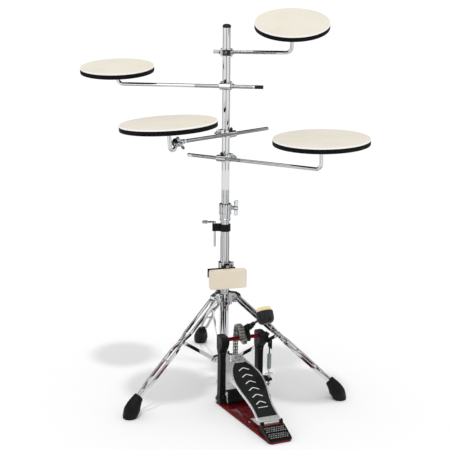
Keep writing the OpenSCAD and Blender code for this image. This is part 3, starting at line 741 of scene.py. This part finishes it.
def tilter():
    reach, riser = arms["snare"][4:6]
    top = riser - 16
    hook = (reach - tilterOut - 2) / 2
    parts = []
    disc = lathe([(0, 0), (10.4, 0), (11, 0.6), (11, 7.2), (10.2, 8), (0, 8)], 64)
    parts.append(tinted(moved(disc, shift(tilterOut, -4, 0) @ turn("X", -90)), 1))
    for k in range(24):
        tooth = block((1.2, 1.6, 3.2), (0, 0, 10.9), 0.3)
        parts.append(tinted(moved(tooth, shift(tilterOut, 2.2, 0) @ turn("Y", k * 15)), 1))
    parts.append(rod(7, (tilterOut, -7, 0), (tilterOut, -3.8, 0), 0.8))
    parts.append(rod(5.8, (tilterOut, 0, 0), (tilterOut, 26, 0), 0.6))
    path = [(tilterOut + 2, 0, 0)]
    path += arc((tilterOut + 2 + hook, -8), hook, 180, 360, 16) + [(reach, 0, top - 3)]
    parts.append(sweep(path, ring(5.2, 32), (0, 1, 0)))
    parts += flange(shift(reach, 0, 0), top)
    piece("snareTilter", parts, [chrome, darkSteel], bodyOf("snare_tilter"),
          ["snare_tilter"], snareLean)
    refined("tilter_wing_nut", chrome, 0.8, name="tilterWingNut", segments=3)


def clampDetails(name):  # screw heads and black knobs on a cross clamp
    height, azimuth, side = arms[name][:3]
    far = -side
    place = shift(0, 0, height) @ turn("Z", azimuth)
    parts = [
        rod(9, (19, far * 20, 0), (22, far * 20, 0), 0.8),
        tinted(hexagon(5.4, (22, far * 20, 0), (22.4, far * 20, 0), 0), 1),
        tinted(rod(8, (-19, far * 20, 0), (-16, far * 20, 0), 0.8), 1),
        block((15, 8, 17), (0, side * 12, 0), 1.2),
        tinted(rod(8, (0, side * 20, 9.4), (0, side * 20, 16.5), 0.8), 1),
        tinted(rod(5, (0, side * 20, 16.4), (0, side * 20, 18.6), 0.8), 1),
    ]
    return [moved(part, place) for part in parts]


for name in ("top", "left", "floor"):
    bentArm(name)
    pad(name, armPlace(name) @ shift(arms[name][4], 0, arms[name][5]))
snareArm()
tilter()
pad("snare", snareLean @ shift(arms["snare"][4], 0, arms["snare"][5]))
for name in arms:
    refined(name + "_clamp", [chrome, plastic], 0.8, clampDetails(name), name + "Clamp")
print("pads and arms done")

# The pedal.

pedalLook = {"ribHigh": 1.7, "studRows": (7, 13.5, 20, 30, 36.5, 43), "studsPerRow": 9,
             "chainPitch": 8.6, "rows": (-10.5, -3.2), "sprocketAt": (-131.5, 205),
             "wrapRadius": 22.4, "springCoils": 15, "wire": 1.7}


def onPedal(parts):
    return [moved(part, pedalPlace) for part in parts]


def onShaft(x):
    return (x, *shaftAt)


def basePlate():
    parts = []
    for side in (1, -1):
        line = filleted([(side * x, y, 4) for x, y in
                         ((62, -128), (62, -140), (28, -345), (18, -350))], 8)
        parts.append(sweep(line, roundedBar(3, 2 * pedalLook["ribHigh"], 1.05, 3)))
        frameLine = [(side * 34, -150, 4), (side * 16, -150, 4), (side * 14, -212, 4),
                     (side * 29, -212, 4)]
        parts.append(sweep(frameLine, roundedBar(2.4, 2 * pedalLook["ribHigh"], 1.05, 3),
                           closed=True))
        for x, y in ((60, -134), (33, -275)):  # screws
            parts.append(tinted(rod(6.5, (side * x, y, 3.8), (side * x, y, 5.6), 0.7), 1))
    window = [(-26, -247, 4), (26, -247, 4), (19.5, -303, 4), (-19.5, -303, 4)]
    parts.append(block((52, 34, 3.6), (0, -231, 2), 0.5))
    parts.append(sweep(filleted(window + window[:1], 4)[:-1],
                       roundedBar(2.4, 2 * pedalLook["ribHigh"], 1.05, 3), closed=True))
    refined("base_plate", [redPlate, steel], 1.2, onPedal(parts), "basePlate",
            segments=3)
    piece("baseGrip", onPedal([sweep([(x, y, 0.75) for x, y in
                                      ((-70.6, -120.9), (70.6, -120.9), (69.6, -128),
                                       (31.2, -399.8), (25.8, -405.8), (-25.8, -405.8),
                                       (-31.2, -399.8), (-69.6, -128))],
                                     roundedBar(1.6, 1.5, 0.3, 2), closed=True)]),
          rubber, "stand")


def heelPlate():
    parts = []
    slope = math.degrees(math.atan2(26 - 9, 404 - 354))
    onSlope = shift(0, -354, 26) @ turn("X", slope)
    length = math.hypot(50, 17)
    for k, along in enumerate(pedalLook["studRows"]):
        count = pedalLook["studsPerRow"] - (k % 2)
        for n in range(count):
            x = (n - (count - 1) / 2) * 6.6
            stud = turned([(0, 0), (2.3, 0), (2.3, 0.8), (1.6, 1.6), (0, 1.7)],
                          (x, -along - 1, -0.2), (x, -along - 1, 1), 12)
            parts.append(tinted(moved(stud, onSlope), 1))
    for along in (3.2, 24.8, 47.5):
        parts.append(moved(block((60, 1.4, 1.4), (0, -along - 1, 0.1), 0.5), onSlope))
    for x in (-31.2, 31.2):
        parts.append(moved(block((1.6, length - 4, 1.6), (x, -length / 2, 0.1), 0.5), onSlope))
    parts.append(tinted(block((63.6, 5.6, 2.2), (0, -350.6, 25.8), 0.8), 2))
    parts.append(tinted(block((63.6, 1.6, 19), (0, -347.9, 16), 0.6), 2))
    for x in (-32.2, 32.2):
        way = 1 if x > 0 else -1
        parts.append(tinted(rod(8, (x - way, -341, 29), (x + way * 1.6, -341, 29), 0.8), 3))
    refined("heel_plate", [castBlack, steel, redPlate, chromeFlat], 0.9,
            onPedal(parts), "heelPlate")


def posts():
    for side in (-1, 1):
        x = side * 56.5
        parts = [
            block((24, 40, 9), (x - side * 1, -127, 8.3), 2.4, 3),
            block((21, 30, 14), (x, -127, 14), 3, 3),
            tinted(rod(15, onShaft(x + side * 9.5), onShaft(x + side * 11.9), 0.9, 40), 1),
            tinted(rod(13.4, onShaft(x - side * 11.1), onShaft(x - side * 9), 0.8, 40), 1),
            tinted(hexagon(7, (x + side * 4, -144.5, 202.6), (x + side * 4, -144.5, 205)), 1),
            tinted(rod(6.5, (x, -137.4, 24), (x, -139.6, 24), 0.6), 1),
            tinted(rod(6.5, (x, -137.4, 152), (x, -139.4, 152), 0.6), 1),
            block((5, 3, 96), (x, -138.2, 92), 1.2),
            block((5, 3, 96), (x, -115.8, 92), 1.2),
            block((16, 24, 10), (x, -132, 197), 2.4, 3),
        ]
        if side > 0:
            parts.append(block((10, 20, 7), (71, -157, 65.4), 1.6, 3))
        name = "leftPost" if side < 0 else "rightPost"
        node = "left_post" if side < 0 else "right_post"
        refined(node, [castBlack, darkSteel], 1.3, onPedal(parts), name, segments=3)
    lever = sweep(filleted([(-46, -139, 37), (-46, -141.5, 26), (-46, -148, 10),
                            (-46, -151, 7.4)], 4), roundedBar(6.4, 2.6, 1, 3), (1, 0, 0))
    nut = hexagon(9, (-46, -139, 31), (-46, -142.4, 31))
    piece("sideLever", onPedal([lever, nut]), castSilver, "stand")
    refined("toe_bridge", castBlack, 1.0,
            onPedal([block((88, 4, 5), (0, -158, 13.6), 1.5, 3)]), "toeBridge")
    refined("hoop_jaw", castBlack, 0.6, name="hoopJaw")
    screw = [rod(9, (47, -151, 10), (50, -151, 10), 0.6),
             rod(8, (80, -160.5, 10), (80, -158.2, 10), 0.8),
             rod(8, (80, -143.8, 10), (80, -141.5, 10), 0.8)]
    refined("jaw_screw", chromeFlat, 0.5, onPedal(screw), "jawScrew")


def link(place, depth):  # one chain plate, waisted between its two pins
    half = pedalLook["chainPitch"] / 2
    points = []
    for way in (1, -1):
        for a in (-100, -60, -20, 20, 60, 100):
            t = math.radians(a + (0 if way > 0 else 180))
            points.append((way * half + 3.5 * math.cos(t), 3.5 * math.sin(t)))
        points.append((0, way * 2.5))
    return moved(plate(points, -depth / 2, depth / 2, 0.2, 1), place)


def chainPieces(stations, plates=(-2.9, -1.9, 1.9, 2.9)):
    parts = []
    for k, (here, there) in enumerate(zip(stations, stations[1:])):
        (y, z), (y2, z2) = here, there
        mid = ((y + y2) / 2, (z + z2) / 2)
        angle = math.degrees(math.atan2(z2 - z, y2 - y))
        for row in pedalLook["rows"]:
            offsets = plates[::3] if k % 2 else plates[1:3]
            for off in offsets:
                place = shift(row + off, mid[0], mid[1]) @ turn("X", angle) \
                    @ turn("Z", 90) @ turn("X", 90)
                parts.append(link(place, 0.9))
            parts.append(tinted(rod(5.2, (row - 1.6, y, z), (row + 1.6, y, z), 0.3, 14), 1))
            parts.append(tinted(rod(2.4, (row - 3.7, y, z), (row + 3.7, y, z), 0.2, 10), 1))
    return parts


def sprocketAndChain():
    y, z = pedalLook["sprocketAt"]
    parts = []
    for x in (-14, -7.2, -0.4):
        outline = []
        teeth = 15
        for k in range(teeth * 4):
            t = 2 * math.pi * k / (teeth * 4)
            r = (22.3, 21.2, 20.6, 21.2)[k % 4]
            outline.append((r * math.cos(t), r * math.sin(t)))
        disc = plate(outline, 0, 2.4, 0.3)
        parts.append(moved(disc, shift(x, y, z) @ turn("Y", 90)))
    parts.append(rod(36, (-13.6, y, z), (1.8, y, z), 0.4, 48))
    parts.append(tinted(turned([(13, 0), (13.6, 0), (14, 0.5), (14, 1.2), (13, 1.2)],
                               (-15, y, z), (-13.8, y, z), 48), 1))
    for k in range(8):
        t = math.radians(k * 45 + 10)
        for size, out, face, rim in ((4, 17.5, -15.2, 0.5), (3, 8, -15, 0.4)):
            at = (y + out * math.cos(t), z + out * math.sin(t))
            parts.append(tinted(rod(size, (face, *at), (-13.9, *at), rim, 16), 1))
    parts.append(tinted(hexagon(8, (-15.6, y, z), (-13.8, y, z)), 2))
    parts.append(tinted(block((13.4, 14, 16), (0.4, -151.6, 187.4), 1.2), 2))
    parts.append(tinted(rod(5.5, (1, -160.2, 187), (1, -158, 187), 0.6), 1))
    parts.append(tinted(rod(5.5, (1, -152, 177.8), (1, -152, 180), 0.6), 1))
    refined("sprocket", [sprocketSteel, darkSteel, chainSteel], 0.3,
            onPedal(parts), "sprocketWheel")
    stations = []
    for k in range(11):
        t = math.radians(196 - 21.4 * k)
        stations.append((y + pedalLook["wrapRadius"] * math.cos(t),
                         z + pedalLook["wrapRadius"] * math.sin(t)))
    piece("chainWrap", onPedal(chainPieces(stations)), [chainSteel, steel], "shaft")
    run = [(-106, 197 - 69 * k / 8) for k in range(9)]
    made = piece("chainRun", onPedal(chainPieces(run)), [chainSteel, steel], "stand",
                 ["chain_run"])
    made.parent = None
    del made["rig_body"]
    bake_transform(made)


def beater():
    extras = [
        rod(7, (-5.5, 13.8, 4), (-5.5, 12, 4), 0.5),
        tinted(rod(6, (-2, 31.6, 20), (-2, 30, 20), 0.5), 1),
        tinted(hexagon(8, (10, 22.5, 26), (14, 22.5, 26)), 1),
        tinted(rod(5, (4.6, 4, -8), (7, 4, -8), 0.4), 1),
        tinted(rod(5, (4.6, 4, 8), (7, 4, 8), 0.4), 1),
    ]
    refined("beater_hub", [castBlack, steel], 0.9,
            [moved(part, beaterPlace) for part in extras], "beaterHub")
    rodParts = [rod(6.5, (-2, 22.5, -30), (-2, 22.5, 139), 1.0, 32),
                tinted(rod(12, (-2, 22.5, 60), (-2, 22.5, 68), 1.0, 32), 1)]
    piece("beaterRod", rodParts, [darkSteel, castBlack], bodyOf("beater_rod"),
          ["beater_rod"], beaterPlace)
    headPlace = beaterPlace @ shift(-2, 22.5, 156) @ turn("X", -90)
    body = [(0, -21), (12, -21), (15.5, -20.2), (18.4, -18), (20.6, -15), (22.2, -11),
            (23, -6), (23.1, 0), (23.1, 10.6), (22.6, 11.6), (21.8, 12), (0, 12)]
    head = lathe(body, 64)
    seam = lathe([(23.0, 5.8), (23.35, 6.1), (23.35, 7.1), (23.0, 7.4)], 64)
    screw = rod(6, (0, 0, -23), (0, 0, -20.5), 0.6)
    piece("beaterHead", [head, seam, tinted(screw, 1)], [beaterBlack, steel],
          bodyOf("beater_head"), ["beater_head"], headPlace)
    face = lathe([(0, 12.05), (19.6, 12.05), (20.2, 12.5), (20.3, 16), (19.8, 18.6),
                  (18.8, 20.8), (17.2, 22.4), (14.6, 23.3), (10.5, 23.8), (5, 24), (0, 24)], 72)
    made = piece("beaterFelt", [face], felt, bodyOf("beater_felt"), ["beater_felt"],
                 headPlace)


def springSet():
    lever = [tinted(rod(11, onShaft(67.8), onShaft(68.9), 0.4), 1),
             tinted(hexagon(10, onShaft(72.6), onShaft(76)), 1),
             tinted(rod(6.5, (76.9, -157.36, 179.68), (78.4, -157.36, 179.68), 0.5), 1)]
    refined("spring_lever", [castBlack, steel], 0.7, onPedal(lever), "springLever")
    x, y = 75, -157.36
    refined("spring_rocker", [castBlack, springSteel], 0.5,
            onPedal([tinted(rod(3.4, (x, y, 140), (x, y, 161), 0.3), 1),
                     tinted(rod(8, (x, y, 139.5), (x, y, 142), 0.6), 1)]), "springRocker")
    coils = pedalLook["springCoils"]
    low, high = 97.5, 140.5
    path = []
    for k in range(coils * 16 + 1):
        t = 2 * math.pi * k / 16
        radius = 5.2 if 6 < k < coils * 16 - 6 else 4.4
        path.append((x + radius * math.cos(t), y + radius * math.sin(t),
                     low + (high - low) * k / (coils * 16)))
    parts = [sweep(path, ring(pedalLook["wire"] / 2, 8)),
             rod(7.2, (x, y, 96), (x, y, 139), 0.4)]
    parts.append(tinted(rod(10.4, (x, y, 90), (x, y, 97.5), 0.9), 1))
    made = piece("spring", onPedal(parts), [springSteel, whitePlastic], "stand",
                 ["spring"])
    made.parent = None
    del made["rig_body"]
    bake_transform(made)
    thread = [(0, 44)]
    z = 44.4
    while z < 92:
        thread += [(1.75, z), (2.05, z + 0.4), (1.75, z + 0.8)]
        z += 0.8
    thread.append((0, z))
    parts = [moved(lathe(thread, 20), shift(x, y, 0)), hexagon(9, (x, y, 56.5), (x, y, 61.5), 0.6),
             hexagon(9.4, (x, y, 69.6), (x, y, 74), 0.6), rod(9, (x, y, 76), (x, y, 84), 1.0),
             block((24, 3, 7), (x, y, 80.5), 1.2, 3),
             rod(10.5, (x, y, 48), (x, y, 52), 0.8)]
    piece("springRod", onPedal(parts), chromeFlat, "stand", ["spring_rod"])


boardStations = (  # half widths along the footboard, from the heel
    (0, 33.5), (25, 31.8), (50, 31.5), (75, 34.2), (105, 39.6), (135, 43.8), (150, 44.6),
    (165, 44), (185, 40), (205, 32.6), (222, 25), (238, 19.6), (258, 15))


def boardHalf(s):
    for k, ((a, low), (b, high)) in enumerate(zip(boardStations, boardStations[1:])):
        if s <= b:
            before = boardStations[max(0, k - 1)]
            after = boardStations[min(len(boardStations) - 1, k + 2)]
            t = (s - a) / (b - a)
            m0 = (high - before[1]) / (b - before[0]) * (b - a)
            m1 = (after[1] - low) / (after[0] - a) * (b - a)
            return ((2 * t ** 3 - 3 * t ** 2 + 1) * low + (t ** 3 - 2 * t ** 2 + t) * m0
                    + (3 * t ** 2 - 2 * t ** 3) * high + (t ** 3 - t ** 2) * m1)
    return boardStations[-1][1]


def boardOutline(inset, start, end, steps=44, corner=0.0):
    stations = [start + (end - start) * k / steps for k in range(steps + 1)]
    halves = []
    for s in stations:
        half = boardHalf(s) - inset
        near = min(s - start, end - s)
        if corner and near < corner:
            half -= corner - math.sqrt(max(0, corner ** 2 - (corner - near) ** 2))
        halves.append(half)
    right = list(zip(stations, halves))
    return right + [(s, -h) for s, h in reversed(right)]


def gripOutline():  # squared at the heel, rounded at the toe
    low, high, count = 15, 234, 40
    sides = []
    for k in range(count + 1):
        s = low + (high - low) * k / count
        half = boardHalf(s) - 4.6
        if s > high - 34:
            half *= (max(0, 1 - ((s - high + 34) / 34) ** 2.4)) ** 0.5
        sides.append((s, half))
    return sides[:-1] + [(high, 0)] + [(s, -h) for s, h in reversed(sides[:-1])]


def footboard():
    silver = plate(boardOutline(0, 6, 257), 2, 7.2, 1.2, 3)
    rimLine = boardOutline(2.3, 8.4, 254.7)
    rim = sweep([(x, y, 7.2) for x, y in rimLine], roundedBar(4.4, 3.0, 1.3, 4), closed=True)
    black = tinted(plate(gripOutline(), 6.8, 8.0, 0.4), 1)
    parts = [silver, rim, black]
    parts.append(block((15, 62, 2.2), (5.6, 0, 7.9), 0.8))
    for k in range(6):  # raised grip chevrons
        s = 66 + 26 * k
        width = min(boardHalf(s) * 0.42, 15)
        line = filleted([(s - 5, -width, 8.1), (s + 5, 0, 8.1), (s - 5, width, 8.1)], 5, 4)
        parts.append(tinted(sweep(line, roundedBar(2.6, 1.2, 0.5, 2)), 2))
    parts.append(tinted(sweep([(48 + 0.01 * k, -14 + 28 * k / 4, 8.1) for k in range(5)],
                              roundedBar(2, 1.2, 0.5, 2)), 2))
    parts.append(block((26, 24, 5), (235, 0, 7.6), 1.4, 3))
    for y in (-6.5, 6.5):
        parts.append(tinted(rod(6, (240, y, 9.9), (240, y, 11.4), 0.7, 20), 3))
    parts.append(tinted(rod(5, (229, 0, 9.9), (229, 0, 11.2), 0.6, 20), 3))
    low, high = -26.7, 16.7  # the hinge knuckle
    parts.append(rod(11, (0, low, 0), (0, high, 0), 0.8))
    parts.append(block((15, high - low, 6), (7, (low + high) / 2, 2.6), 1.2))
    piece("footboardCast", parts, [castSilver, grip, whitePlastic, steel], bodyOf("footboard"),
          ["footboard"], boardPlace)


basePlate()
heelPlate()
posts()
refined("rocker_shaft", [redShaft, darkSteel], 0.5, onPedal([
    tinted(rod(9.4, onShaft(-69.2), onShaft(-66), 0.8), 1),
    tinted(rod(9.2, onShaft(67.6), onShaft(78.6), 0.8), 1)]), "rockerShaft")
sprocketAndChain()
beater()
springSet()
footboard()
print("pedal done")

# The studio.

studio = {"floor": 120, "sun": 0.80, "sunSize": 3.5, "sunFrom": (0.02, -0.22, 1),
          "diffuse": 0.86, "glossy": 1.65, "screenOut": 0.66, "camera": (0, -2.566, 1.122),
          "pitch": 76.01, "roll": 0.53, "lens": 74.46}

floorMesh = bmesh.new()
bmesh.ops.create_grid(floorMesh, x_segments=1, y_segments=1, size=studio["floor"])
floorData = bpy.data.meshes.new("studioFloor")
floorMesh.to_mesh(floorData)
floorMesh.free()
floor = bpy.data.objects.new("studioFloor", floorData)
bpy.context.scene.collection.objects.link(floor)
floor.location = (0, 0, -0.0005)
floorData.materials.append(finish("paleFloor", (0.94, 0.94, 0.94), (0.93, 0.93, 0.93), 2, 0.0,
                                  (0.7, 0.8), gloss=0.0))

sunData = bpy.data.lights.new("overhead", "SUN")
sunData.energy = studio["sun"]
sunData.angle = math.radians(studio["sunSize"])
sun = bpy.data.objects.new("overhead", sunData)
bpy.context.scene.collection.objects.link(sun)
sun.rotation_euler = Vector(studio["sunFrom"]).to_track_quat("Z", "Y").to_euler()

screens = [  # upright screens that only reflections show: from, to, low, high, albedo
    (-9, 6, 0.0, 0.45, 0.50), (-9, 5, 0.52, 1.1, 0.05), (-72, -30, 0.0, 0.45, 0.62),
    (28, 66, 0.0, 0.45, 0.50), (84, 112, 0.0, 0.45, 0.32), (84, 108, 0.52, 1.1, 0.30),
    (118, 178, 0.0, 0.28, 0.55), (-178, -128, 0.0, 0.28, 0.42), (-112, -92, 0.0, 0.45, 0.20),
    (-112, -94, 0.52, 1.1, 0.22)]
cards = [(-0.62, -0.03, -0.85, -0.43), (0.16, 0.6, -0.75, -0.4), (-0.75, -0.42, -0.32, 0.1)]


def screenObject(name, sheet, albedo):  # a sheet that only reflections show
    sheetData = bpy.data.meshes.new(name)
    sheet.to_mesh(sheetData)
    sheet.free()
    sheetData.materials.append(finish(name, (albedo,) * 3, (albedo,) * 3, 2, 0.0,
                                      (0.8, 0.9), gloss=0.0))
    screen = bpy.data.objects.new(name, sheetData)
    bpy.context.scene.collection.objects.link(screen)
    screen.visible_camera = screen.visible_diffuse = screen.visible_shadow = False


for k, (left, right, front, back) in enumerate(cards):  # dark cards lying on the floor
    sheet = bmesh.new()
    sheet.faces.new([sheet.verts.new((x, y, 0.0015)) for x, y in
                     ((left, front), (right, front), (right, back), (left, back))])
    screenObject(f"card{k}", sheet, 0.02)
for k, (start, end, low, high, albedo) in enumerate(screens):
    sheet = bmesh.new()
    rows = []
    for step in range(7):
        angle = math.radians(start + (end - start) * step / 6 - 90)
        x, y = (studio["screenOut"] * way(angle) for way in (math.cos, math.sin))
        rows.append((sheet.verts.new((x, y, low)), sheet.verts.new((x, y, high))))
    for (a, b), (c, d) in zip(rows, rows[1:]):
        sheet.faces.new((a, c, d, b))
    screenObject(f"screen{k}", sheet, albedo)

panels = [  # brightness of the studio's panels by angle from the front, in degrees
    (-180, 0.03), (-150, 0.05), (-132, 0.03), (-116, 0.06), (-104, 0.6), (-84, 0.75),
    (-62, 0.45), (-48, 0.4), (-40, 1.0), (-22, 1.0), (-12, 0.85), (-7, 0.04), (5, 0.03),
    (10, 0.8), (26, 1.0), (36, 0.55), (60, 0.4), (74, 0.4), (82, 1.0), (104, 1.0), (116, 0.3),
    (126, 0.03), (152, 0.03), (180, 0.03)]


def studioSky():
    world = bpy.data.worlds.new("studio")
    bpy.context.scene.world = world
    world.use_nodes = True
    nodes, link = world.node_tree.nodes, world.node_tree.links.new
    nodes.clear()

    def math2(operation, a, b):
        node = nodes.new("ShaderNodeMath")
        node.operation = operation
        for socket, value in zip(node.inputs, (a, b)):
            if isinstance(value, (int, float)):
                socket.default_value = value
            else:
                link(value, socket)
        return node.outputs[0]

    parted = nodes.new("ShaderNodeSeparateXYZ")
    link(nodes.new("ShaderNodeTexCoord").outputs["Generated"], parted.inputs["Vector"])
    azimuth = math2("ARCTAN2", parted.outputs["X"], math2("MULTIPLY", parted.outputs["Y"], -1))
    share = math2("ADD", math2("DIVIDE", azimuth, 2 * math.pi), 0.5)
    flags = nodes.new("ShaderNodeValToRGB")
    ramp = flags.color_ramp
    ramp.elements.remove(ramp.elements[-1])
    ramp.elements[0].position = 0
    for k, (angle, level) in enumerate(panels):
        stop = ramp.elements.new((angle + 180) / 360) if k else ramp.elements[0]
        stop.color = (level, level, level, 1)
    link(share, flags.inputs["Fac"])
    ray = nodes.new("ShaderNodeLightPath")
    shown = None
    for colour, strength in ((None, studio["diffuse"]), (flags.outputs["Color"], studio["glossy"]),
                             (None, 1.0)):
        background = nodes.new("ShaderNodeBackground")
        background.inputs["Color"].default_value = (1, 1, 1, 1)
        background.inputs["Strength"].default_value = strength
        if colour:
            link(colour, background.inputs["Color"])
        if shown is None:
            shown = background.outputs[0]
            continue
        mixed = nodes.new("ShaderNodeMixShader")
        link(ray.outputs["Is Glossy Ray" if colour else "Is Camera Ray"], mixed.inputs["Fac"])
        link(shown, mixed.inputs[1])
        link(background.outputs[0], mixed.inputs[2])
        shown = mixed.outputs[0]
    link(shown, nodes.new("ShaderNodeOutputWorld").inputs["Surface"])


studioSky()
bpy.context.scene.view_settings.view_transform = "Standard"

lens = bpy.data.cameras.new("view")
lens.lens = studio["lens"]
lens.sensor_width = 36
camera = bpy.data.objects.new("view", lens)
bpy.context.scene.collection.objects.link(camera)
camera.matrix_world = Matrix.Translation(studio["camera"]) @ turn("X", studio["pitch"]) \
    @ turn("Z", studio["roll"])
bpy.context.scene.camera = camera
